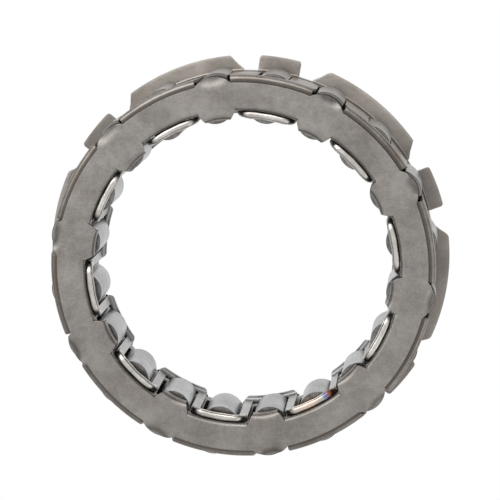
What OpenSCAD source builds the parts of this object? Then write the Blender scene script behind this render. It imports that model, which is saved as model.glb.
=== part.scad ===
// One-way starter clutch: two drawn cages hold twenty cam-shaped sprags between an inner
// and an outer race. The clutch lies on its lugs, its axis is Z and the lug seat is at z = 0.

/* [Races] */
// Radius of the inner race that the sprags close on
inner_race_r = 24.86; // [24.6:0.02:25.1]
// Radial space between the inner and the outer race
race_space = 8.34; // [8.2:0.02:8.5]
// How far a free sprag stands past each race
free_reach = 0.1; // [0:0.02:0.2]

/* [Sprags] */
// Number of sprags, in pairs under a notch and under a tab
sprag_count = 20; // [16:2:20]
// Length of a sprag along the clutch axis
sprag_len = 10.6; // [9.5:0.1:10.8]
// Height of the sprags' lower ends above the lug seat
sprag_z = 3.1; // [2.9:0.05:3.15]
// Radius of the inner cam
cam_in_r = 3.3; // [3.1:0.05:3.6]
// Radius of the outer cam
cam_out_r = 3.1; // [2.9:0.05:3.4]
// Width across the inner lobe
lobe_in_w = 5.7; // [5.3:0.05:5.8]
// Width across the outer lobe
lobe_out_w = 4.6; // [4.3:0.05:4.7]
// Width of the waist
waist_w = 3.5; // [3.0:0.1:3.8]
// Height of the waist above the sprag's middle
waist_y = 0.3; // [0.1:0.05:0.5]
// Radius of the hollow flanks
flank_r = 2.9; // [2.6:0.05:3.2]
// Sideways offset of each cam from the sprag's middle line
cam_offset = 0.35; // [0.2:0.05:0.4]

/* [Outer cage] */
// Radial clearance of the outer cage in the outer race
cage_clearance = 0.3; // [0.25:0.01:0.35]
// Sheet thickness of the outer cage
outer_sheet = 0.65; // [0.6:0.01:0.7]
// Gap between the outer cage's flange and the plate over it
flange_gap = 0.05; // [0.05:0.05:0.2]
// Width of the flange, from the outside of the cage inwards
flange_w = 1.5; // [1.4:0.05:1.8]
// Outer radius of the bend between the wall and the flange
rim_bend = 0.75; // [0.7:0.05:0.9]
// Side clearance of a sprag in its outer window
window_gap = 0.45; // [0.4:0.05:0.6]
// End clearance of a sprag in its windows
window_end_gap = 0.3; // [0.2:0.05:0.4]
// Corner radius of the outer windows
window_corner = 0.5; // [0.3:0.1:0.8]

/* [Lugs] */
// How far the lugs stand out past the outer cage
lug_reach = 2.2; // [2:0.05:2.6]
// Fillet radius between the wall and the lugs
lug_fillet = 0.4; // [0.3:0.05:0.7]
// Width of a narrow lug
narrow_lug_w = 7.3; // [6.5:0.1:7.8]
// Half angle of a wide lug at its tips
wide_lug_half = 15.4; // [15:0.2:17]
// Half angle of a wide lug at its root
wide_root_half = 19.3; // [18:0.1:20]
// Height of the notches between the lugs
notch_z = 1.5; // [1.4:0.05:1.6]
// Corner chamfer of the narrow lugs
lug_corner = 0.5; // [0.3:0.1:0.8]
// Angle of the first narrow lug from the X axis
narrow_lug_a = 21; // [15:0.5:25]

/* [Inner cage] */
// Height of the plate's upper face
plate_z = 16; // [15.9:0.1:16.2]
// Sheet thickness of the inner cage
inner_sheet = 0.65; // [0.55:0.05:0.7]
// Distance of the plate's edge from the inside of the outer cage
plate_gap = 0.6; // [0.5:0.05:0.9]
// How far a bulge stands out past the plate's edge
bulge_reach = 0.9; // [0.6:0.05:1]
// Radius of a bulge's round edge
bulge_round = 4.5; // [4.3:0.1:4.8]
// Distance of the inner cage's wall from the inner race
inner_wall_gap = 2.04; // [1.98:0.02:2.1]
// Sheet thickness of the inner cage's wall
inner_wall = 0.55; // [0.5:0.05:0.6]
// Side clearance of a sprag in its inner window
inner_window_gap = 0.45; // [0.4:0.05:0.5]
// Height of the inner cage's lower edge
inner_cage_z = 0.8; // [0.6:0.1:1.0]
// Radius of the bend between the plate and the wall
notch_bend = 0.6; // [0.5:0.05:0.7]
// Half angle of a tab at its root
tab_half = 6.9; // [6.4:0.1:7.2]
// Half angle of a tab at its tip
tab_tip_half = 4.8; // [4.4:0.1:5.4]
// Radial clearance of the tabs over the inner race
tab_clearance = 0.84; // [0.74:0.02:0.94]
// Height of a tab's lower edge above the sprags
tab_gap = 0.3; // [0.2:0.05:0.4]

/* [Ribbon spring] */
// Strip thickness of the ribbon spring
ribbon_sheet = 0.5; // [0.4:0.05:0.55]
// Radial clearance of the lower rails over the inner race
rail_clearance = 0.2; // [0.15:0.05:0.3]
// Height of the lower rails' edge
ribbon_z = 1.2; // [1.0:0.1:1.3]
// Gap between the lower rails and the sprags
rail_gap = 0.5; // [0.4:0.05:0.6]
// Width of a crossbar
crossbar_w = 1.3; // [1.1:0.05:1.4]
// Shift of the crossbars towards the middle of the lower rails
crossbar_shift = 0.2; // [0:0.05:0.3]
// Setback of a rolled rail's ends from the sides of its crossbars
roll_setback = 0.15; // [0.1:0.05:0.3]
// Upright length of the strip next to each rail
strip_upright = 1.1; // [0.8:0.1:1.4]
// Radial thickness of the rolled upper rails
roll_w = 1.0; // [0.9:0.05:1.0]
// Height of the rolled upper rails
roll_h = 1.2; // [1.1:0.05:1.25]
// Gap under the plate's upper face to the top of the rolled rails
roll_drop = 0.45; // [0.4:0.05:0.8]
// Radial play between the rolled rails and the inner cage's wall
roll_gap = 0.05; // [0.05:0.05:0.2]
// Outer corner radius of the lower rails
rail_corner = 1.1; // [0.8:0.1:1.3]

/* [Hidden] */
$fn = 96;
// How far cutters run past the sheet
over = 1;
// How far joined pieces run into each other
lap = 0.2;
pitch = 360 / sprag_count;
notch_a = 9;
tab_a = notch_a + pitch;
pair_count = sprag_count / 2;
lug_count = 6;
lug_pitch = 360 / lug_count;

outer_race_r = inner_race_r + race_space;
tip_in_r = inner_race_r - free_reach;
tip_out_r = outer_race_r + free_reach;
mid_r = (tip_in_r + tip_out_r) / 2;
half_h = (tip_out_r - tip_in_r) / 2;
sprag_top = sprag_z + sprag_len;
window_z = sprag_z - window_end_gap;
window_top = sprag_top + window_end_gap;

outer_cage_r = outer_race_r - cage_clearance;
outer_wall_r = outer_cage_r - outer_sheet;
flange_r = outer_cage_r - flange_w;
rim_z = plate_z - inner_sheet - flange_gap;
lug_r = outer_cage_r + lug_reach;

plate_r = outer_wall_r - plate_gap;
bulge_r = plate_r + bulge_reach;
inner_wall_r = inner_race_r + inner_wall_gap;
bend_r = inner_wall_r + notch_bend;
tab_r = inner_race_r + tab_clearance;
tab_z = sprag_top + tab_gap;

ribbon_low_r = inner_race_r + rail_clearance;
roll_out_r = inner_wall_r - roll_gap;
ribbon_mid_r = roll_out_r - roll_w / 2;
ribbon_top_r = ribbon_mid_r - ribbon_sheet / 2;
rail_top = sprag_z - rail_gap;
roll_z = plate_z - roll_drop - roll_h;
strip_top = roll_z + roll_h / 2;
frame_half = ribbon_mid_r * sin(pitch / 2) + crossbar_w / 2 - crossbar_shift;
frame_inside = frame_half - crossbar_w;
roll_half = pitch - asin((frame_inside + roll_setback) / ribbon_mid_r);

SPRAGS = [for (i = [1 : sprag_count]) str("sprag_", i < 10 ? "0" : "", i)];

function at(r, a) = [r * cos(a), r * sin(a)];
function arc_points(c, r, a0, a1, steps = 5) =
    [for (i = [0 : steps]) c + at(r, a0 + (a1 - a0) * i / steps)];

// Outline with its corners rounded by the same radius, built from true circles
module rounded_box(w, h, r) {
    translate([-w / 2 + r, 0]) square([w - 2 * r, h]);
    translate([-w / 2, r]) square([w, h - 2 * r]);
    for (x = [-1, 1], y = [r, h - r]) translate([x * (w / 2 - r), y]) circle(r);
}

// Places an outline, drawn in a tangent plane with its height along Z, across the wall at
// angle a, from radius r0 to radius r1
module radial(a, r0, r1) {
    rotate([0, 0, a - 90]) translate([0, r1, 0]) rotate([90, 0, 0])
        linear_extrude(r1 - r0) children();
}

// Sector of a turned profile, centred on angle a
module arc(a, half) {
    rotate([0, 0, a - half]) rotate_extrude(angle = 2 * half) children();
}

// Section of the outer cage: flange, wall, the bend at its foot and the lugs' sheet
module cage_wall_profile() {
    foot = [outer_cage_r + lug_fillet, outer_sheet + lug_fillet];
    polygon(concat(
        [[flange_r, rim_z], [flange_r, rim_z - outer_sheet], [outer_wall_r, rim_z - outer_sheet]],
        arc_points(foot, lug_fillet + outer_sheet, 180, 270),
        [[lug_r, 0], [lug_r, outer_sheet]],
        arc_points(foot, lug_fillet, 270, 180),
        arc_points([outer_cage_r - rim_bend, rim_z - rim_bend], rim_bend, 0, 90)
    ));
}

// Flat outline of the notch between a narrow lug and the wide lug on its side s
module lug_notch(a, s) {
    root = outer_wall_r - over;
    far = lug_r + over;
    narrow_y = narrow_lug_w / 2;
    tip = sqrt(lug_r * lug_r - narrow_y * narrow_y);
    wide_tip = lug_pitch / 2 - wide_lug_half;
    wide_root = lug_pitch / 2 - wide_root_half;
    c = lug_corner;
    rotate(a) mirror([0, s < 0 ? 1 : 0]) polygon([
        [root, narrow_y],
        [tip - c, narrow_y],
        [tip, narrow_y - c],
        [far, narrow_y - c],
        at(far + over, wide_tip),
        at(lug_r, wide_tip),
        at(outer_wall_r, wide_root),
        at(root, wide_root)
    ]);
}

module outer_cage() {
    color([0.56, 0.53, 0.50]) difference() {
        rotate_extrude() cage_wall_profile();
        for (i = [0 : lug_count - 1], s = [-1, 1])
            translate([0, 0, -over]) linear_extrude(notch_z + over)
                lug_notch(narrow_lug_a + i * lug_pitch, s);
        for (i = [0 : pair_count - 1]) {
            radial(notch_a + 2 * i * pitch, outer_wall_r - over, outer_cage_r + over)
                translate([0, window_z])
                    rounded_box(lobe_out_w + 2 * window_gap, window_top - window_z, window_corner);
            radial(tab_a + 2 * i * pitch, flange_r - over, outer_cage_r + over)
                translate([0, window_z])
                    rounded_box(lobe_out_w + 2 * window_gap, plate_z + 2 * over - window_z, window_corner);
        }
    }
}

// Plate with its round bulges
module plate_outline() {
    difference() {
        union() {
            circle(plate_r);
            for (i = [0 : pair_count - 1])
                rotate(tab_a + 2 * i * pitch) translate([bulge_r - bulge_round, 0]) circle(bulge_round);
        }
        circle(bend_r);
    }
}

// Section of the bend from the plate into the wall
module wall_profile() {
    polygon(concat(
        [[bend_r + lap, plate_z], [bend_r + lap, plate_z - inner_sheet]],
        [[inner_wall_r + inner_wall, plate_z - inner_sheet], [inner_wall_r + inner_wall, inner_cage_z]],
        [[inner_wall_r, inner_cage_z]],
        arc_points([bend_r, plate_z - notch_bend], notch_bend, 180, 90)
    ));
}

// Section of a tab: on from the plate's inner edge and bent down
module tab_profile() {
    bend = inner_wall_r - inner_sheet - tab_r;
    centre = [inner_wall_r, plate_z - inner_sheet - bend];
    polygon(concat(
        [[tab_r, tab_z]],
        arc_points(centre, bend + inner_sheet, 180, 90),
        [[bend_r + 2 * lap, plate_z], [bend_r + 2 * lap, plate_z - lap]],
        [[inner_wall_r + lap, plate_z - inner_sheet]],
        arc_points(centre, bend, 90, 180),
        [[tab_r + inner_sheet, tab_z]]
    ));
}

// Outline of a tab from above, with slanted sides
module tab_outline(a) {
    r0 = tab_r - over;
    r1 = bend_r + over;
    polygon([
        at(r0, a - tab_tip_half), at(r1, a - tab_half),
        at(r1, a + tab_half), at(r0, a + tab_tip_half)
    ]);
}

module inner_cage() {
    color([0.57, 0.55, 0.52]) {
        translate([0, 0, plate_z - inner_sheet]) linear_extrude(inner_sheet) plate_outline();
        difference() {
            rotate_extrude() wall_profile();
            for (i = [0 : sprag_count - 1])
                radial(notch_a + i * pitch, inner_wall_r - over, inner_wall_r + inner_wall + over)
                    translate([0, window_z])
                        rounded_box(lobe_in_w + 2 * inner_window_gap, window_top - window_z, window_corner);
        }
        for (i = [0 : pair_count - 1]) intersection() {
            arc(tab_a + 2 * i * pitch, 2 * tab_half) tab_profile();
            linear_extrude(plate_z + over) tab_outline(tab_a + 2 * i * pitch);
        }
    }
}

// Section of the strip: upright at both rails, leaning outwards between them
module strip_profile() {
    low_bend = rail_top + strip_upright;
    top_bend = roll_z - strip_upright;
    polygon([
        [ribbon_low_r, ribbon_z],
        [ribbon_low_r + ribbon_sheet, ribbon_z],
        [ribbon_low_r + ribbon_sheet, low_bend],
        [ribbon_top_r + ribbon_sheet, top_bend],
        [ribbon_top_r + ribbon_sheet, strip_top],
        [ribbon_top_r, strip_top],
        [ribbon_top_r, top_bend],
        [ribbon_low_r, low_bend]
    ]);
}

module roll_profile() {
    r = roll_w / 2;
    translate([roll_out_r - r, roll_z]) {
        translate([0, r]) circle(r);
        translate([0, roll_h - r]) circle(r);
        translate([-r, r]) square([roll_w, roll_h - roll_w]);
    }
}

// Frame of one lower rail and its two crossbars, drawn flat
module frame_outline() {
    difference() {
        translate([0, ribbon_z])
            rounded_box(2 * frame_half, strip_top + rail_corner - ribbon_z, rail_corner);
        translate([0, rail_top])
            rounded_box(2 * frame_inside, strip_top + rail_corner + over - rail_top, rail_corner / 2);
        translate([-frame_half - over, strip_top])
            square([2 * (frame_half + over), rail_corner + over]);
    }
}

module ribbon_spring() {
    color([0.74, 0.73, 0.71]) for (i = [0 : pair_count - 1]) {
        a = tab_a + 2 * i * pitch;
        intersection() {
            arc(a, 0.75 * pitch) strip_profile();
            radial(a, ribbon_low_r - 2 * over, ribbon_top_r + 2 * over) frame_outline();
        }
        arc(a + pitch, roll_half) roll_profile();
    }
}

// Section of a sprag: two offset cams, cut to the widths of their lobes, on a hollow waist
module sprag_outline() {
    inner_y = -half_h + cam_in_r;
    outer_y = half_h - cam_out_r;
    difference() {
        union() {
            intersection() {
                translate([-cam_offset, inner_y]) circle(cam_in_r);
                translate([-cam_offset - lobe_in_w / 2, -half_h - over])
                    square([lobe_in_w, half_h + over + waist_y + lap]);
            }
            intersection() {
                translate([cam_offset, outer_y]) circle(cam_out_r);
                translate([cam_offset - lobe_out_w / 2, waist_y - lap])
                    square([lobe_out_w, half_h + over]);
            }
        }
        for (s = [-1, 1]) translate([s * (waist_w / 2 + flank_r), waist_y]) circle(flank_r);
    }
}

module sprag(i) {
    color([0.66, 0.67, 0.68]) rotate([0, 0, notch_a + (i - 1) * pitch - 90])
        translate([0, mid_r, sprag_z]) linear_extrude(sprag_len) sprag_outline();
}

outer_cage();
inner_cage();
ribbon_spring();
for (i = [1 : sprag_count]) sprag(i);
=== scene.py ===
"""Starter clutch, dressed for the render. Lengths are millimetres until they become mesh data."""
import math

import bmesh
import bpy
from mathutils import Matrix, Vector


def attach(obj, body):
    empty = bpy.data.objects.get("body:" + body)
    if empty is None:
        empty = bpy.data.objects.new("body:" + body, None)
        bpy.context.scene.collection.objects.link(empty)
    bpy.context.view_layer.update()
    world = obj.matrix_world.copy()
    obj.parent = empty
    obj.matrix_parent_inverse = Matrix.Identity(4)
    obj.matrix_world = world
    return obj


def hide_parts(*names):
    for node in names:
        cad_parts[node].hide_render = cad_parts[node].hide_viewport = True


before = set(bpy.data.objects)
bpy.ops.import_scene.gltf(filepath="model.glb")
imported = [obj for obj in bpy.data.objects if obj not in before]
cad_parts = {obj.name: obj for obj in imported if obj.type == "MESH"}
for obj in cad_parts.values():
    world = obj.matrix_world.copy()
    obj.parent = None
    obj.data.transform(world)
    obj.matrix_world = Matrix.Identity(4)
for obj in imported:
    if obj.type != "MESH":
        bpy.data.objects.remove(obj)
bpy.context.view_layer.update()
scene = bpy.context.scene
MM = 0.001

# Angles are degrees round the axis, from +X. The radii and heights of a sheet are those of one face, the one
# to the bore and up on the inner cage and the ribbon, and the one outwards and up on the outer cage.

# Sprags
COUNT = 20
PITCH = 360 / COUNT
FIRST = PITCH / 2
INNER_RACE = 24.86
OUTER_RACE = 33.2
REACH = 0.1  # how far a sprag stands past each race at rest
SPRAG_Z = 3.1
SPRAG_LEN = 10.6
CAM_IN = 3.3  # radius of the inner cam
CAM_OUT = 4.0  # radius of the outer cam
CAM_OFFSET = 0.35  # how far the cams stand to opposite sides
LOBE_IN = (-3.2, 2.8)  # the two sides of the inner lobe
LOBE_OUT = (-2.45, 2.5)
WAIST = 1.75  # half the width at the waist
WAIST_Y = 0.3  # how far the waist lies outside the middle between the races
FLANK = 2.9  # radius of the hollow at each side of the waist

# Windows of both cages
WIN_Z = 2.8
WIN_TOP = 14.0
WIN_CORNER = 0.5
WIN_HALF_IN = 3.25  # half the width, in the inner cage
WIN_HALF_OUT = 2.75

# Outer cage
CAGE_R = 32.9
CAGE_T = 0.65
CAGE_TAPER = 0.55  # how much narrower the wall is at the lugs than at the rim
ROOT_R = CAGE_R - CAGE_TAPER
RIM_Z = 15.3
RIM_BEND = 0.75
FLANGE_R = 31.4
NOTCH_Z = 1.5  # lower edge of the wall between the lugs
FLARE = 0.42  # how far the side of a slot spreads at the rim
FLARE_FADE = 2.4  # the length of rim beside a slot that spreads with it
FLARE_RISE = 1.7  # the height over which the side spreads
LUG_PAIRS = 6  # each pair is a narrow lug and a wide one
LUG_FIRST = 21.0
LUG_R = 35.1
LUG_FILLET = 0.4
LUG_CORNER = 0.45
NARROW_HALF = 3.65
WIDE_ROOT = 19.3  # half the angle of a wide lug at the wall
WIDE_TIP = 15.4  # and at its tip

# Inner cage
PLATE_Z = 16.0
PLATE_T = 0.55
PLATE_R = 31.65
PLATE_IN = 28.2  # the notches and tabs begin here
BULGE_R = 32.85
BULGE_ROUND = 4.3  # radius of the outline of a bulge
BULGE_MID = BULGE_R - BULGE_ROUND
BULGE_DROOP = 1.1
DROOP_R = 30.9  # a bulge turns down from here outwards
DROOP_HALF = 2.4
WALL_R = 26.9
WALL_MID = 27.2  # where the width of a window is measured
WALL_Z = 0.8
JOIN_Z = 15.2  # top of the straight wall
NOTCH_BEND = 0.6  # radius of the bend at the ends of a notch
NOTCH_CROWN = 0.1  # what it gains towards the middle
TAB_R = 25.4
TAB_Z = 14.0
TAB_TIP = 4.75  # half the angle of a tab at its tip
TAB_BEND = 0.62
TAB_CROWN = 0.5

# Ribbon spring
STRIP_T = 0.5
LOW_R = 25.2  # free edge of a plain rail
BAR_R = 25.95  # lower end of a crossbar
TOP_R = 26.1  # upper end of a crossbar
RAIL_Z = 1.6  # underside of a plain rail
RAIL_BEND = 0.5
STRIP_TOP = 13.7
FRAME_HALF = 4.72  # half the width over a rail and its two crossbars
BAR_W = 1.45
RAIL_CORNER = 1.0
GUSSET = 0.9  # the round where a crossbar meets its rail
ROLL_R = 26.24  # middle of a rolled rail
ROLL_Z = 15.0
ROLL_HALF_W = 0.62
ROLL_HALF_H = 0.58

# Rounding of the edges
SHEET_EDGE = 0.1
STRIP_EDGE = 0.16
SPRAG_EDGE = 0.16


def deg(length, r):
    return math.degrees(length / r)


def polar(r, a, z):
    a = math.radians(a)
    return (r * math.cos(a), r * math.sin(a), z)


def lines(keys, step):
    """The keys in order, with even steps between them."""
    keys = sorted(set(round(k, 5) for k in keys))
    rows = [keys[0]]
    for a, b in zip(keys, keys[1:]):
        count = max(1, math.ceil((b - a) / step - 1e-6))
        rows += [a + (b - a) * i / count for i in range(1, count + 1)]
    return rows


# Meshes
def add_object(name, data):
    obj = bpy.data.objects.new(name, data)
    scene.collection.objects.link(obj)
    return obj


def mesh_of(name, points, faces):
    mesh = bpy.data.meshes.new(name)
    mesh.from_pydata([(x * MM, y * MM, z * MM) for x, y, z in points], [], faces)
    return mesh


def smooth(mesh, sharp):
    """Smooths the shading, apart from edges sharper than the given angle."""
    for p in mesh.polygons:
        p.use_smooth = True
    mesh.set_sharp_from_angle(angle=math.radians(sharp))


def round_edges(obj, width, angle=38):
    bevel = obj.modifiers.new("edge", "BEVEL")
    bevel.width = width * MM
    bevel.segments = 3
    bevel.limit_method = "ANGLE"
    bevel.angle_limit = math.radians(angle)
    bevel.use_clamp_overlap = True
    bevel.miter_outer = "MITER_ARC"


def finish_mesh(obj, sharp=32):
    """Applies the modifiers and smooths the shading."""
    deps = bpy.context.evaluated_depsgraph_get()
    mesh = bpy.data.meshes.new_from_object(obj.evaluated_get(deps))
    obj.modifiers.clear()
    old = obj.data
    obj.data = mesh
    mesh.name = obj.name
    bpy.data.meshes.remove(old)
    smooth(mesh, sharp)
    normals = obj.modifiers.new("normals", "WEIGHTED_NORMAL")
    normals.keep_sharp = True
    normals.weight = 60
    return obj


def corner_loop(kind, u, v, du, dv, steps):
    """What an arc leaves of a corner cell: its corner beside a hole, and the rest at the sheet's own edge."""
    far_u, far_v = u + du, v + dv
    turns = [math.pi / 2 * i / steps for i in range(steps + 1)]
    arc = [(far_u - du * math.sin(t), far_v - dv * math.cos(t)) for t in turns]
    return arc + [(u, v) if kind == "fill" else (far_u, far_v)]


class Sheet:
    """One face of a pressed sheet, made of patches that share their border points."""

    def __init__(self):
        self.points = []
        self.faces = []
        self.known = {}

    def point(self, place):
        key = tuple(round(c, 3) for c in place)
        if key not in self.known:
            self.known[key] = len(self.points)
            self.points.append(place)
        return self.known[key]

    def face(self, loop, surface, flip):
        area = sum(loop[i - 1][0] * loop[i][1] - loop[i][0] * loop[i - 1][1] for i in range(len(loop)))
        if (area < 0) != flip:
            loop = loop[::-1]
        ids = []
        for u, v in loop:
            i = self.point(surface(u, v))
            if i not in ids:
                ids.append(i)
        if len(ids) > 2:
            self.faces.append(ids)

    def patch(self, us, vs, surface, hole=None, fills=(), trims=(), flip=False, steps=4):
        """Cells between the lines us and vs. fills round a hole's corners, trims round the sheet's own.

        A fill or a trim is the u and v of a corner, and the way from it to the far side of its cell.
        """
        corners = {}
        for kind, rows in (("fill", fills), ("trim", trims)):
            for u, v, du, dv in rows:
                corners[(round(u + du / 2, 4), round(v + dv / 2, 4))] = (kind, u, v, du, dv)
        for u0, u1 in zip(us, us[1:]):
            for v0, v1 in zip(vs, vs[1:]):
                middle = (round((u0 + u1) / 2, 4), round((v0 + v1) / 2, 4))
                if middle in corners:
                    self.face(corner_loop(*corners[middle], steps), surface, flip)
                elif hole is None or not hole(*middle):
                    self.face([(u0, v0), (u1, v0), (u1, v1), (u0, v1)], surface, flip)

    def build(self, name, thickness, edge):
        obj = add_object(name, mesh_of(name, self.points, self.faces))
        solid = obj.modifiers.new("sheet", "SOLIDIFY")
        solid.thickness = thickness * MM
        solid.offset = -1.0
        solid.use_even_offset = True
        solid.use_quality_normals = True
        round_edges(obj, edge)
        return finish_mesh(obj)


# Inner cage
def bulge_edge(a):
    """Outer radius of the plate at the angle a from the middle of a bulge."""
    side = BULGE_MID * math.sin(math.radians(a))
    if abs(side) >= BULGE_ROUND:
        return PLATE_R
    reach = math.sqrt(BULGE_ROUND ** 2 - side * side)
    return max(PLATE_R, BULGE_MID * math.cos(math.radians(a)) + reach)


def droop(a, r, edge):
    """How far a bulge turns down at the angle a from its middle and the radius r. Its end is at edge."""
    across = 1 - (math.radians(a) * CAGE_R / DROOP_HALF) ** 2
    if across <= 0 or r <= DROOP_R:
        return 0.0
    return BULGE_DROOP * across ** 1.5 * ((r - DROOP_R) / (edge - DROOP_R)) ** 2


def plate_bend(r, size, share):
    """Radius and height at a share of the bend from the plate down to the radius r."""
    t = share * math.pi / 2
    return r + size - size * math.sin(t), PLATE_Z - size + size * math.cos(t)


def make_inner_cage():
    """Ten notches and ten tabs, with the plate outside them and the windowed wall below.

    u is the angle from the middle of a notch, and PITCH is the middle of the next tab. v counts rows inwards
    along the plate and round the bend. From wall_row on, it is millimetres down the wall.
    """
    sheet = Sheet()
    wall_row = 3
    half = deg(WIN_HALF_IN, WALL_MID)
    corner = deg(WIN_CORNER, WALL_MID)
    edge = PITCH - half
    bulge_cos = (PLATE_R ** 2 + BULGE_MID ** 2 - BULGE_ROUND ** 2) / (2 * PLATE_R * BULGE_MID)
    bulge_a = math.degrees(math.acos(bulge_cos))

    def notch_bend(u):
        return NOTCH_BEND + NOTCH_CROWN * (1 - (u / edge) ** 2)

    def tab_bend(x):
        return TAB_BEND + TAB_CROWN * (1 - x * x)

    def row(z):
        return wall_row + JOIN_Z - z

    def hole(u, v):
        return row(WIN_TOP) < v < row(WIN_Z) and (abs(u) < half or abs(u - PITCH) < half)

    def fills(middle):
        return [(middle + s * half, row(z), -s * corner, dv)
                for s in (-1, 1) for z, dv in ((WIN_Z, -WIN_CORNER), (WIN_TOP, WIN_CORNER))]

    heights = lines([WALL_Z, WIN_Z, WIN_Z + WIN_CORNER, WIN_TOP - WIN_CORNER, WIN_TOP, JOIN_Z], 1.5)
    wall_rows = [row(z) for z in reversed(heights)]
    plate_rows = [0, 0.05, 0.1, 0.16, 0.24, 0.34, 0.5, 0.75, 1]
    notch_rows = [0, 0.5] + lines([1, 2], 1 / 7) + wall_rows
    tab_rows = [0, 0.5] + lines([1, 2], 0.5) + lines([2, 3], 1 / 7)[1:] + [3.5, 4]
    notch_us = lines([-edge, -half, -half + corner, half - corner, half, edge], 1.1)
    tab_end = PITCH + half
    tab_us = lines([edge, edge + corner, PITCH - bulge_a, PITCH + bulge_a, tab_end - corner, tab_end], 0.8)

    for k in range(COUNT // 2):
        base = FIRST + 2 * PITCH * k

        def plate(u, v):
            a = u - PITCH if u > 0 else u + PITCH
            out = bulge_edge(a)
            r = out + (PLATE_IN - out) * v
            return polar(r, base + u, PLATE_Z - droop(a, r, out))

        def wall(u, v):
            return polar(WALL_R, base + u, JOIN_Z - (v - wall_row))

        def notch(u, v):
            size = notch_bend(u)
            if v <= 1:
                return polar(PLATE_IN + (WALL_R + size - PLATE_IN) * v, base + u, PLATE_Z)
            if v <= 2:
                r, z = plate_bend(WALL_R, size, v - 1)
                return polar(r, base + u, z)
            return wall(u, v)

        def tab(u, v):
            x = (u - PITCH) / half
            size = tab_bend(x)
            start = WALL_R + notch_bend(edge)
            if v <= 1:
                return polar(PLATE_IN + (start - PLATE_IN) * v, base + u, PLATE_Z)
            if v <= 2:
                r, z = start + (TAB_R + size - start) * (v - 1), PLATE_Z
            elif v <= 3:
                r, z = plate_bend(TAB_R, size, v - 2)
            else:
                r, z = TAB_R, PLATE_Z - size + (TAB_Z - PLATE_Z + size) * (v - 3)
            narrowing = min(1.0, (start - r) / (start - TAB_R)) ** 1.7
            return polar(r, base + PITCH + x * (half + (TAB_TIP - half) * narrowing), z)

        sheet.patch(notch_us + tab_us[1:], plate_rows, plate)
        sheet.patch(notch_us, notch_rows, notch, hole, fills(0))
        sheet.patch(tab_us, tab_rows, tab,
                    trims=[(edge, 4, corner, -0.5), (tab_end, 4, -corner, -0.5)])
        sheet.patch(tab_us, wall_rows, wall, hole, fills(PITCH))
    return sheet.build("inner_cage_sheet", PLATE_T, SHEET_EDGE)


# Outer cage
def turn_between(a, b):
    """The angle from b to a, between -180 and 180."""
    return (a - b + 180) % 360 - 180


def lug_surface(middle, root, tip):
    """A lug: down from the wall, round its fillet and out. root and tip are half its angle at each end."""
    def surface(u, v):
        if v <= 1:
            return polar(ROOT_R, middle + u, NOTCH_Z + (CAGE_T + LUG_FILLET - NOTCH_Z) * v)
        if v <= 2:
            t = (v - 1) * math.pi / 2
            r = ROOT_R + LUG_FILLET * (1 - math.cos(t))
            return polar(r, middle + u, CAGE_T + LUG_FILLET * (1 - math.sin(t)))
        r = ROOT_R + LUG_FILLET + (LUG_R - ROOT_R - LUG_FILLET) * (v - 2)
        half = root + (tip - root) * (r - ROOT_R) / (LUG_R - ROOT_R)
        return polar(r, middle + u * half / root, CAGE_T)
    return surface


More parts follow.
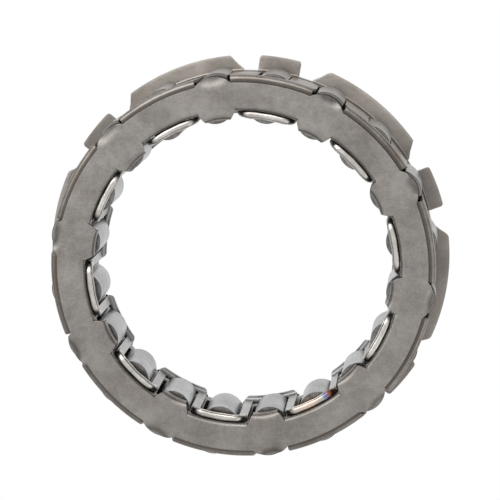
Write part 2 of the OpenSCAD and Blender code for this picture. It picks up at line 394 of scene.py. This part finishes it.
def make_outer_cage():
    """The wall, with its flange at the rim and every second window open to the rim, and the lugs below.

    u is the angle. v is the height up to bend_z, then one row round the bend, then millimetres of flange.
    """
    sheet = Sheet()
    half = deg(WIN_HALF_OUT, CAGE_R)
    corner = deg(WIN_CORNER, CAGE_R)
    flare = deg(FLARE, CAGE_R)
    fade = deg(FLARE_FADE, CAGE_R)
    bend_z = RIM_Z - RIM_BEND
    flange = CAGE_R - RIM_BEND - FLANGE_R
    lug_corner = deg(LUG_CORNER, LUG_R)
    keys, fills, windows = [], [], []
    for i in range(COUNT):
        middle = FIRST + PITCH * i
        opened = i % 2
        keys += [middle - half, middle + half, middle - half + corner, middle + half - corner]
        if opened:
            keys += [middle + s * (half + fade * f) for s in (-1, 1) for f in (0.3, 0.6, 1)]
        ends = ((WIN_Z, WIN_CORNER),) if opened else ((WIN_Z, WIN_CORNER), (WIN_TOP, -WIN_CORNER))
        fills += [(middle + s * half, z, -s * corner, dv) for s in (-1, 1) for z, dv in ends]
        windows.append((middle, opened))
    lugs = []
    for i in range(LUG_PAIRS):
        middle = LUG_FIRST + 360 / LUG_PAIRS * i
        lugs.append((middle, deg(NARROW_HALF, CAGE_R), deg(NARROW_HALF, LUG_R)))
        lugs.append((middle + 180 / LUG_PAIRS, WIDE_ROOT, WIDE_TIP))
    for middle, root, _ in lugs:
        keys += [middle - root, middle - root + lug_corner, middle + root - lug_corner, middle + root]
    start = keys[0]
    keys = sorted(round((k - start) % 360 + start, 4) for k in keys)
    following = keys[1:] + [keys[0] + 360]
    keys = [k for k, after in zip(keys, following) if after - k > 0.02] + [round(start + 360, 4)]
    us = lines(keys, 1.5)

    def snap(rows):
        """Corner cells moved to the turn of the circle that the lines use."""
        return [(u + 360 if min(u, u + du) < start - 1e-3 else u, v, du, dv) for u, v, du, dv in rows]

    def hole(u, v):
        return any(abs(turn_between(u, middle)) < half and v > WIN_Z and (opened or v < WIN_TOP)
                   for middle, opened in windows)

    def wall(u, v):
        slot = FIRST + PITCH + 2 * PITCH * round((u - FIRST - PITCH) / (2 * PITCH))
        from_slot = turn_between(u, slot)
        side = abs(from_slot) - half
        if -1e-4 < side < fade:
            up = min(1.0, max(0.0, (v - bend_z + FLARE_RISE) / FLARE_RISE)) ** 2
            back = 1 - 0.9 * max(0.0, v - bend_z - 1) / flange
            u += math.copysign(flare * up * back * (1 - side / fade), from_slot)
        if v <= bend_z:
            return polar(CAGE_R - CAGE_TAPER * (bend_z - v) / (bend_z - NOTCH_Z), u, v)
        if v <= bend_z + 1:
            t = (v - bend_z) * math.pi / 2
            return polar(CAGE_R - RIM_BEND * (1 - math.cos(t)), u, bend_z + RIM_BEND * math.sin(t))
        return polar(CAGE_R - RIM_BEND - (v - bend_z - 1), u, RIM_Z)

    vs = lines([NOTCH_Z, WIN_Z, WIN_Z + WIN_CORNER, WIN_TOP - WIN_CORNER, WIN_TOP, bend_z], 1.6)
    vs += lines([bend_z, bend_z + 1], 1 / 6)[1:] + [bend_z + 1.4, bend_z + 1 + flange]
    sheet.patch(us, vs, wall, hole, snap(fills))
    for middle, root, tip in lugs:
        cols = [turn_between(u, middle) for u in us]
        cols = sorted(set(round(u, 5) for u in cols if abs(u) < root + 0.02))
        sheet.patch(cols, [0, 1, 1.25, 1.5, 1.75, 2, 2.4, 2.76, 3], lug_surface(middle, root, tip), flip=True,
                    trims=[(s * cols[-1], 3, -s * (cols[-1] - cols[-2]), -0.24) for s in (-1, 1)])
    return sheet.build("outer_cage_sheet", CAGE_T, SHEET_EDGE)


# Ribbon spring
def make_ribbon():
    """Crossbars and plain rails. v runs from a rail's free edge out, round its bend and up the crossbars."""
    sheet = Sheet()
    inside = FRAME_HALF - BAR_W
    flat = BAR_R - RAIL_BEND - LOW_R
    rail = flat + RAIL_BEND * math.pi / 2
    rail_z = RAIL_Z + STRIP_T
    top = rail + STRIP_TOP - rail_z - RAIL_BEND
    us = lines([-inside, -inside + GUSSET, inside - GUSSET, inside], 1.2)
    ends = [FRAME_HALF - RAIL_CORNER + RAIL_CORNER * math.sin(math.pi / 2 * i / 7) for i in range(8)]
    us = [-u for u in ends[::-1]] + us + ends
    vs = [0] + lines([flat, rail], RAIL_BEND / 4) + lines([rail + GUSSET, top], 1.45)
    fills = [(s * inside, rail, -s * GUSSET, GUSSET) for s in (-1, 1)]

    def hole(u, v):
        return abs(u) < inside and v > rail

    for k in range(COUNT // 2):
        base = FIRST + PITCH + 2 * PITCH * k

        def strip(u, v):
            past = max(0.0, abs(u) - FRAME_HALF + RAIL_CORNER)
            low = RAIL_CORNER - math.sqrt(max(0.0, RAIL_CORNER ** 2 - past * past))
            if v < rail:
                v = low + v * (rail - low) / rail
            if v <= flat:
                r, z = LOW_R + v, rail_z
            elif v <= rail:
                t = (v - flat) / RAIL_BEND
                r, z = BAR_R - RAIL_BEND * (1 - math.sin(t)), rail_z + RAIL_BEND * (1 - math.cos(t))
            else:
                r, z = BAR_R + (TOP_R - BAR_R) * (v - rail) / (top - rail), rail_z + RAIL_BEND + v - rail
            return polar(r, base + math.degrees(math.asin(u / r)), z)

        sheet.patch(us, vs, strip, hole, fills, flip=True, steps=7)
    return sheet.build("ribbon_strip", STRIP_T, STRIP_EDGE)


def roll_path():
    """Half of a rolled rail: (x, z, direction, half width, half height, fold), from its middle to its end."""
    flat, reach, drop, tail = 2.75, 1.55, 1.6, 0.7
    steps, tail_steps = 10, 2
    path = [(flat * i / steps, ROLL_Z, 0.0, ROLL_HALF_W, ROLL_HALF_H, 1.0) for i in range(steps)]
    for i in range(steps + 1):
        t = math.pi / 2 * i / steps
        turn = math.atan2(drop * math.sin(t), reach * math.cos(t))
        fold = max(0.0, 1 - i / 3)
        path.append((flat + reach * math.sin(t), ROLL_Z - drop * (1 - math.cos(t)), turn,
                     ROLL_HALF_W - 0.1 * math.sin(t) ** 2, ROLL_HALF_H - 0.04 * math.sin(t), fold))
    for i in range(1, tail_steps + 1):
        path.append((flat + reach, ROLL_Z - drop - tail * i / tail_steps, math.pi / 2,
                     ROLL_HALF_W - 0.1 - 0.08 * i, ROLL_HALF_H - 0.06, 0.0))
    return path


def hump(a, middle, width):
    return math.exp(-((a - middle) / width) ** 2)


def make_rolls():
    """The rolled rails: squarish rolls along their paths, each with a groove where the strip folds over."""
    points, faces = [], []
    count, square = 72, 2 / 2.4
    crest, groove = 168, 143  # degrees round the section
    path = roll_path()
    stations = [(-x, z, -turn, w, h, fold) for x, z, turn, w, h, fold in path[:0:-1]] + path
    for k in range(COUNT // 2):
        base = FIRST + 2 * PITCH * k
        rings = []
        for n, (x, z, turn, half_w, half_h, fold) in enumerate(stations):
            wave = 0.025 * math.sin(1.9 * k + 0.55 * n) + 0.02 * math.sin(3.1 * k + 0.23 * n)
            ring = []
            for i in range(count):
                t = 2 * math.pi * i / count
                c, s = math.cos(t), math.sin(t)
                a = math.degrees(t)
                swell = 1 + fold * (0.12 * hump(a, crest, 14) - 0.5 * hump(a, groove, 6))
                out = (half_w + wave * fold) * math.copysign(abs(c) ** square, c) * swell
                up = half_h * math.copysign(abs(s) ** square, s) * swell
                along = x + up * math.sin(turn)
                ring.append(len(points))
                points.append(polar(ROLL_R + out, base + deg(along, ROLL_R), z + up * math.cos(turn)))
            rings.append(ring)
        for a, b in zip(rings, rings[1:]):
            faces += [(a[j], b[j], b[(j + 1) % count], a[(j + 1) % count]) for j in range(count)]
        faces += [tuple(rings[0]), tuple(rings[-1][::-1])]
    mesh = mesh_of("ribbon_rolls", points, faces)
    bm = bmesh.new()
    bm.from_mesh(mesh)
    bmesh.ops.recalc_face_normals(bm, faces=bm.faces[:])
    bm.to_mesh(mesh)
    bm.free()
    smooth(mesh, 50)
    return add_object("ribbon_rolls", mesh)


# Sprags
def sprag_outline():
    """The section of a sprag, y outwards from the middle between the races."""
    half_h = (OUTER_RACE - INNER_RACE) / 2 + REACH
    inner_cam = (CAM_IN - half_h, CAM_IN, -CAM_OFFSET, LOBE_IN, -1)
    outer_cam = (half_h - CAM_OUT, CAM_OUT, CAM_OFFSET, LOBE_OUT, 1)

    def side_x(y, side):
        cam_y, cam_r, cam_x, lobe, way = inner_cam if y < WAIST_Y else outer_cam
        reach = side * lobe[side > 0]
        if (y - cam_y) * way > 0:
            reach = min(reach, side * cam_x + math.sqrt(max(0.0, cam_r ** 2 - (y - cam_y) ** 2)))
        if abs(y - WAIST_Y) < FLANK:
            reach = min(reach, WAIST + FLANK - math.sqrt(FLANK ** 2 - (y - WAIST_Y) ** 2))
        return side * reach

    ys = [WAIST_Y + d for d in (-2.4, -2.0, -1.5, -1.0, -0.5, -0.001, 0.001, 0.5, 1.0, 1.5, 2.0)]
    for cam_y, cam_r, cam_x, lobe, way in (inner_cam, outer_cam):
        for edge_x in lobe:
            wide = math.asin(min(1.0, abs(edge_x - cam_x) / cam_r))
            ys += [cam_y + way * cam_r * math.cos(wide * i / 10) for i in range(11)]
    ys = sorted(set(round(y, 3) for y in ys))
    loop = [(side_x(y, 1), y) for y in ys] + [(side_x(y, -1), y) for y in reversed(ys)]
    outline = []
    for p in loop:
        if not outline or math.dist(p, outline[-1]) > 0.02:
            outline.append(p)
    if math.dist(outline[0], outline[-1]) < 0.02:
        outline.pop()
    return outline


def make_sprag(i, outline):
    a = math.radians(FIRST + (i - 1) * PITCH - 90)
    mid = (INNER_RACE + OUTER_RACE) / 2
    ca, sa = math.cos(a), math.sin(a)
    bm = bmesh.new()
    ring = [bm.verts.new(((x * ca - (y + mid) * sa) * MM, (x * sa + (y + mid) * ca) * MM, SPRAG_Z * MM))
            for x, y in outline]
    face = bm.faces.new(ring)
    got = bmesh.ops.extrude_face_region(bm, geom=[face])
    top = [v for v in got["geom"] if isinstance(v, bmesh.types.BMVert)]
    bmesh.ops.translate(bm, verts=top, vec=(0, 0, SPRAG_LEN * MM))
    bmesh.ops.recalc_face_normals(bm, faces=bm.faces[:])
    name = f"sprag_body_{i:02d}"
    mesh = bpy.data.meshes.new(name)
    bm.to_mesh(mesh)
    bm.free()
    obj = add_object(name, mesh)
    round_edges(obj, SPRAG_EDGE, angle=30)
    return finish_mesh(obj, sharp=28)


# Shader nodes
def node(tree, kind, inputs=(), **props):
    """A new node with its properties set, and its inputs linked or set."""
    new = tree.nodes.new(kind)
    for key, value in props.items():
        setattr(new, key, value)
    for key, value in dict(inputs).items():
        if isinstance(value, bpy.types.NodeSocket):
            tree.links.new(value, new.inputs[key])
        else:
            new.inputs[key].default_value = value
    return new


def mix(tree, fac, a, b, kind="MIX"):
    return node(tree, "ShaderNodeMix", {0: fac, 6: a, 7: b}, data_type="RGBA", blend_type=kind).outputs[2]


def span(tree, value, lo, hi, to_lo=0.0, to_hi=1.0):
    return node(tree, "ShaderNodeMapRange", {0: value, 1: lo, 2: hi, 3: to_lo, 4: to_hi}).outputs[0]


def calc(tree, kind, *values):
    return node(tree, "ShaderNodeMath", dict(enumerate(values)), operation=kind).outputs[0]


def vector_calc(tree, kind, *values):
    return node(tree, "ShaderNodeVectorMath", dict(enumerate(values)), operation=kind).outputs


def hypot(tree, x, y):
    return calc(tree, "SQRT", calc(tree, "ADD", calc(tree, "POWER", x, 2.0), calc(tree, "POWER", y, 2.0)))


def noise(tree, place, scale, detail, rough=0.6):
    return node(tree, "ShaderNodeTexNoise", {"Vector": place, "Scale": scale, "Detail": detail,
                                             "Roughness": rough}).outputs["Fac"]


def object_place(tree):
    """The place on the resting part, in metres."""
    return node(tree, "ShaderNodeTexCoord").outputs["Object"]


def object_xyz(tree):
    return node(tree, "ShaderNodeSeparateXYZ", {0: object_place(tree)}).outputs


def facing_up(tree):
    normal = node(tree, "ShaderNodeNewGeometry").outputs["Normal"]
    return node(tree, "ShaderNodeSeparateXYZ", {0: normal}).outputs["Z"]


def spot_at(tree, centre, inner, outer):
    """1 within the inner distance in mm of a point of the resting part, 0 beyond the outer one."""
    far = vector_calc(tree, "DISTANCE", object_place(tree), tuple(c * MM for c in centre))["Value"]
    return span(tree, far, inner * MM, outer * MM, 1.0, 0.0)


def group(name, ins, outs):
    """A shader node group: its tree, the sockets of its inputs and those of its outputs."""
    tree = bpy.data.node_groups.new(name, "ShaderNodeTree")
    for way, sockets in (("INPUT", ins), ("OUTPUT", outs)):
        for label, kind in sockets:
            tree.interface.new_socket(label, in_out=way, socket_type=kind)
    return tree, tree.nodes.new("NodeGroupInput").outputs, tree.nodes.new("NodeGroupOutput").inputs


# Steels
def satin_group():
    """Cloudy tone, fine grain, stains and painted shade in the recesses, for all the steels."""
    colour_kind, number_kind, vector_kind = "NodeSocketColor", "NodeSocketFloat", "NodeSocketVector"
    tree, given, out = group(
        "satin_steel",
        [("Dark", colour_kind), ("Light", colour_kind), ("Stain", colour_kind), ("Stain amount", number_kind),
         ("Stretch", vector_kind), ("Seed", vector_kind), ("Roughness", number_kind), ("Bump", number_kind)],
        [("Color", colour_kind), ("Roughness", number_kind), ("Normal", vector_kind)])
    place = vector_calc(tree, "ADD", object_place(tree), given["Seed"])[0]
    stretched = vector_calc(tree, "MULTIPLY", place, given["Stretch"])[0]
    cloud = span(tree, noise(tree, place, 130.0, 4.0), 0.34, 0.66)
    mid = noise(tree, stretched, 750.0, 4.0)
    fine = noise(tree, stretched, 2800.0, 3.0)
    tone = calc(tree, "MULTIPLY", fine, 0.38)
    tone = calc(tree, "MULTIPLY_ADD", mid, 0.36, tone)
    tone = calc(tree, "MULTIPLY_ADD", cloud, 0.26, tone)
    colour = mix(tree, span(tree, tone, 0.34, 0.66), given["Dark"], given["Light"])
    stains = span(tree, noise(tree, place, 90.0, 6.0, 0.65), 0.52, 0.74)
    colour = mix(tree, calc(tree, "MULTIPLY", stains, given["Stain amount"]), colour, given["Stain"])
    # Painted shade: the colour is darkened where the surface is hemmed in, in recesses and between parts.
    openness_for_painted_shade = node(tree, "ShaderNodeAmbientOcclusion", {"Distance": 1.6 * MM}, samples=8).outputs["AO"]
    colour = mix(tree, 1.0, colour, span(tree, openness_for_painted_shade, 0.2, 0.85, 0.4, 1.0), "MULTIPLY")
    tree.links.new(colour, out["Color"])
    rough = calc(tree, "ADD", span(tree, mid, 0.3, 0.7, -0.05, 0.06), given["Roughness"])
    tree.links.new(rough, out["Roughness"])
    bump = node(tree, "ShaderNodeBump", {"Height": fine, "Strength": given["Bump"], "Distance": 0.1 * MM})
    tree.links.new(bump.outputs["Normal"], out["Normal"])
    return tree


SATIN = satin_group()


def steel(name, dark, light, stain, stain_amount, rough, bump, stretch=(1, 1, 1), seed=0.0, extra=None):
    """A satin steel. extra takes the tree and the colour and gives the colour back."""
    material = bpy.data.materials.new(name)
    material.use_nodes = True
    tree = material.node_tree
    shader = tree.nodes["Principled BSDF"]
    shader.inputs["Metallic"].default_value = 1.0
    satin = node(tree, "ShaderNodeGroup",
                 {"Dark": (*dark, 1), "Light": (*light, 1), "Stain": (*stain, 1),
                  "Stain amount": stain_amount, "Roughness": rough, "Bump": bump,
                  "Stretch": stretch, "Seed": (seed, seed * 0.7, 0)},
                 node_tree=SATIN).outputs
    colour = extra(tree, satin["Color"]) if extra else satin["Color"]
    tree.links.new(colour, shader.inputs["Base Color"])
    tree.links.new(satin["Roughness"], shader.inputs["Roughness"])
    tree.links.new(satin["Normal"], shader.inputs["Normal"])
    return material


def heat_tint(tree, colour):
    """The heat colours on the rolled rail at the lower right of the bore."""
    rail = FIRST + 16 * PITCH
    straw = (0.66, 0.53, 0.44)
    green = (0.45, 0.50, 0.42)
    blue = (0.17, 0.19, 0.42)
    brown = (0.30, 0.12, 0.07)
    for turn, inner, outer, tint in ((-1.2, 1.0, 2.8, straw), (5.2, 0.3, 0.8, green), (6.7, 0.4, 0.95, blue),
                                     (8.6, 0.5, 1.2, brown)):
        spot = spot_at(tree, polar(ROLL_R - 0.1, rail + turn, ROLL_Z + 0.3), inner, outer)
        colour = mix(tree, spot, colour, (*tint, 1))
    return colour


def sprag_shade(tree, colour):
    """Streaked painted shade on the ends, a brown cast on the outer cam and dark rings of painted reflection
    round the top of that cam.
    """
    reflection_ring_pitch, reflection_ring_wobble = 0.42, 0.35
    place = object_place(tree)
    xyz = object_xyz(tree)
    r = hypot(tree, xyz["X"], xyz["Y"])
    turn = calc(tree, "SUBTRACT", calc(tree, "ARCTAN2", xyz["Y"], xyz["X"]), math.radians(FIRST))
    turn = calc(tree, "WRAP", turn, math.radians(PITCH / 2), math.radians(-PITCH / 2))
    cam_x = calc(tree, "ADD", calc(tree, "MULTIPLY", r, calc(tree, "SINE", turn)), CAM_OFFSET * MM)
    outwards = calc(tree, "MULTIPLY", r, calc(tree, "COSINE", turn))
    cam_y = calc(tree, "SUBTRACT", outwards, (OUTER_RACE + REACH - CAM_OUT) * MM)
    # Painted reflection: dark rings round the top of the outer cam, standing in for what a polished cam
    # mirrors.
    ring = calc(tree, "SUBTRACT", hypot(tree, cam_x, cam_y), xyz["Z"])
    ring = calc(tree, "MULTIPLY_ADD", noise(tree, place, 500.0, 2.0), reflection_ring_wobble * MM, ring)
    rings = calc(tree, "SINE", calc(tree, "MULTIPLY", ring, 2 * math.pi / (reflection_ring_pitch * MM)))
    rings = calc(tree, "MULTIPLY", span(tree, rings, -0.1, 0.6), span(tree, xyz["Z"], 11.5 * MM, 13.4 * MM))
    outer = span(tree, r, 30.8 * MM, 31.6 * MM)
    # Painted shade: the ends that face up or down are darkened, with streaks, except on the outer cam.
    ends = span(tree, calc(tree, "ABSOLUTE", facing_up(tree)), 0.75, 0.95)
    streaks = span(tree, noise(tree, place, 900.0, 4.0), 0.35, 0.65)
    painted_shade_tone = mix(tree, streaks, (0.13, 0.125, 0.12, 1), (0.25, 0.24, 0.235, 1))
    colour = mix(tree, calc(tree, "MULTIPLY", ends, calc(tree, "SUBTRACT", 1.0, outer)), colour, painted_shade_tone)
    colour = mix(tree, calc(tree, "MULTIPLY", outer, 0.6), colour, (0.24, 0.215, 0.195, 1))
    rings = calc(tree, "MULTIPLY", calc(tree, "MULTIPLY", rings, outer), 0.9)
    return mix(tree, rings, colour, (0.07, 0.06, 0.05, 1))


def strip_shade(tree, colour):
    """Painted shade: darker where the strip faces up."""
    return mix(tree, span(tree, facing_up(tree), 0.3, 0.9, 0.0, 0.45), colour, (0.16, 0.155, 0.15, 1))


def rim_shade(tree, colour):
    """Painted shade on the flange next to the plate, a pale brown cast on the lugs, and painted shade and
    light in patches on the lugs.
    """
    xyz = object_xyz(tree)
    r = hypot(tree, xyz["X"], xyz["Y"])
    # Painted shade: the flange is darkened where it runs under the plate's edge.
    edge = span(tree, r, 32.15 * MM, 32.45 * MM, 0.75, 0.0)
    edge = calc(tree, "MULTIPLY", edge, span(tree, xyz["Z"], 14.9 * MM, 15.1 * MM))
    colour = mix(tree, edge, colour, (0.075, 0.062, 0.052, 1))
    painted_shade_tone, pale_cast_and_painted_light = (0.09, 0.08, 0.075, 1), (0.62, 0.56, 0.51, 1)
    lug = calc(tree, "MULTIPLY", span(tree, xyz["Z"], 1.0 * MM, 1.5 * MM, 1.0, 0.0), 0.12)
    colour = mix(tree, lug, colour, pale_cast_and_painted_light)
    # Painted shade in patches on the lugs at 141, 321, 354 and 21 degrees, and painted light on the lug at 51
    # degrees.
    for a, amount, tint in ((141, 0.45, painted_shade_tone), (321, 0.42, painted_shade_tone), (354, 0.25, painted_shade_tone), (21, 0.25, painted_shade_tone),
                            (51, 0.22, pale_cast_and_painted_light)):
        patch = spot_at(tree, polar(LUG_R - 1, a, 1.0), 4.0, 11.0)
        colour = mix(tree, calc(tree, "MULTIPLY", patch, amount), colour, tint)
    return colour


PLATE = steel("plate_satin", dark=(0.205, 0.190, 0.175), light=(0.325, 0.305, 0.285),
              stain=(0.19, 0.155, 0.13), stain_amount=0.4, rough=0.42, bump=0.12)
LUGGED = steel("cage_satin", dark=(0.22, 0.20, 0.182), light=(0.36, 0.332, 0.305),
               stain=(0.20, 0.155, 0.115), stain_amount=0.65, rough=0.40, bump=0.12, seed=0.03,
               extra=rim_shade)
STRIP = steel("strip_satin", dark=(0.37, 0.366, 0.362), light=(0.52, 0.516, 0.512),
              stain=(0.40, 0.39, 0.37), stain_amount=0.35, rough=0.38, bump=0.10, seed=0.05,
              extra=strip_shade)
SPRAG = steel("sprag_ground", dark=(0.255, 0.258, 0.258), light=(0.475, 0.478, 0.478),
              stain=(0.40, 0.40, 0.40), stain_amount=0.3, rough=0.32, bump=0.20, stretch=(1.4, 1.4, 0.2),
              seed=0.07, extra=sprag_shade)
ROLL = steel("roll_polished", dark=(0.40, 0.38, 0.35), light=(0.66, 0.635, 0.60),
             stain=(0.30, 0.25, 0.20), stain_amount=0.5, rough=0.30, bump=0.14, seed=0.09, extra=heat_tint)


# Pieces
def dress(obj, material, body, replaced):
    obj.data.materials.clear()
    obj.data.materials.append(material)
    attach(obj, body)
    if replaced:
        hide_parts(replaced)


dress(make_inner_cage(), PLATE, "inner_cage_body", "inner_cage")
dress(make_outer_cage(), LUGGED, "root", "outer_cage")
dress(make_ribbon(), STRIP, "inner_cage_body", "ribbon_spring")
dress(make_rolls(), ROLL, "inner_cage_body", None)
section = sprag_outline()
for i in range(1, COUNT + 1):
    dress(make_sprag(i, section), SPRAG, f"sprag_{i:02d}_body", f"sprag_{i:02d}")


# Floor
def white_floor():
    """White to the camera and in reflections, a painted shadow below the space between the cages, clear from
    below.
    """
    material = bpy.data.materials.new("white_floor")
    material.use_nodes = True
    tree = material.node_tree
    tree.nodes.clear()
    place = node(tree, "ShaderNodeNewGeometry").outputs["Position"]
    r = vector_calc(tree, "LENGTH", vector_calc(tree, "MULTIPLY", place, (1, 1, 0))[0])["Value"]
    within = span(tree, r, 32.3 * MM, 32.6 * MM, 1.0, 0.0)
    # Painted shadow: a dark ring on the floor below the space between the cages.
    painted_shadow = calc(tree, "MULTIPLY", span(tree, r, 26.9 * MM, 27.1 * MM), within)
    rays = node(tree, "ShaderNodeLightPath").outputs
    shown = calc(tree, "MAXIMUM", rays["Is Camera Ray"],
                 calc(tree, "MAXIMUM", rays["Is Glossy Ray"], rays["Is Transmission Ray"]))
    white = calc(tree, "MULTIPLY", shown, calc(tree, "SUBTRACT", 1.0, painted_shadow))
    seen = node(tree, "ShaderNodeEmission", {"Color": (1, 1, 1, 1), "Strength": 1.0}).outputs[0]
    tone = mix(tree, painted_shadow, (0.86, 0.86, 0.86, 1), (0.15, 0.13, 0.12, 1))
    lit = node(tree, "ShaderNodeBsdfDiffuse", {"Color": tone}).outputs[0]
    above = node(tree, "ShaderNodeMixShader", {0: white, 1: lit, 2: seen}).outputs[0]
    below = node(tree, "ShaderNodeNewGeometry").outputs["Backfacing"]
    clear = node(tree, "ShaderNodeBsdfTransparent").outputs[0]
    surface = node(tree, "ShaderNodeMixShader", {0: below, 1: above, 2: clear}).outputs[0]
    node(tree, "ShaderNodeOutputMaterial", {"Surface": surface})
    return material


bpy.ops.mesh.primitive_plane_add(size=3.0, location=(0, 0, -0.02 * MM))
floor = bpy.context.object
floor.name = "floor"
floor.data.materials.append(white_floor())


# Sky and lights
MID_Z = PLATE_Z / 2  # half the clutch's height


def make_sky(stops):
    """A grey sky. A stop is a height, from the horizon at 0 to straight up at 1, and the grey there."""
    world = bpy.data.worlds.new("studio")
    scene.world = world
    world.use_nodes = True
    tree = world.node_tree
    tree.nodes.clear()
    towards = node(tree, "ShaderNodeTexCoord").outputs["Generated"]
    height = node(tree, "ShaderNodeSeparateXYZ", {0: towards}).outputs["Z"]
    ramp = node(tree, "ShaderNodeValToRGB", {"Fac": height})
    elements = ramp.color_ramp.elements
    while len(elements) < len(stops):
        elements.new(0.5)
    for element, (position, grey) in zip(elements, stops):
        element.position = position
        element.color = (grey, grey, grey, 1)
    light = node(tree, "ShaderNodeBackground", {"Color": ramp.outputs["Color"], "Strength": 1.0})
    node(tree, "ShaderNodeOutputWorld", {"Surface": light.outputs[0]})


def soft_light(name, place, size, watts, aim=(0, 0, MID_Z * MM)):
    data = bpy.data.lights.new(name, "AREA")
    data.shape = "RECTANGLE"
    data.size, data.size_y = size
    data.energy = watts
    lamp = add_object(name, data)
    lamp.location = place
    lamp.rotation_euler = (Vector(aim) - Vector(place)).to_track_quat("-Z", "Y").to_euler()


make_sky([(0.0, 0.16), (0.25, 0.22), (0.5, 0.50), (0.75, 0.86), (1.0, 0.95)])
soft_light("key", (-0.20, 0.34, 0.42), (0.62, 0.50), 2.3)
soft_light("fill", (0.42, -0.30, 0.38), (0.50, 0.40), 0.5)

# Camera of the photograph, tilted towards the upper right
PHOTO = 500  # pixels each way
AXIS_PX = (245.7, 261.3)  # the point of the axis at the height MID_Z
PX_PER_MM = 5.780
DIST = 400.0
TILT = math.radians(10.77)
TURN = math.radians(61.5)
SENSOR = 36.0


def make_camera():
    back = Vector((math.sin(TILT) * math.cos(TURN), math.sin(TILT) * math.sin(TURN), math.cos(TILT)))
    right = Vector((0, 1, 0)).cross(back).normalized()
    up = back.cross(right)
    data = bpy.data.cameras.new("camera")
    data.sensor_width = SENSOR
    data.lens = SENSOR * DIST / (PHOTO / PX_PER_MM)
    data.shift_x = (PHOTO / 2 - AXIS_PX[0]) / PHOTO
    data.shift_y = (AXIS_PX[1] - PHOTO / 2) / PHOTO
    data.clip_start, data.clip_end = 0.01, 20
    camera = add_object("camera", data)
    camera.location = Vector((0, 0, MID_Z * MM)) + back * DIST * MM
    camera.rotation_mode = "QUATERNION"
    camera.rotation_quaternion = Matrix((right, up, back)).transposed().to_quaternion()
    return camera


scene.camera = make_camera()
scene.view_settings.view_transform = "Standard"
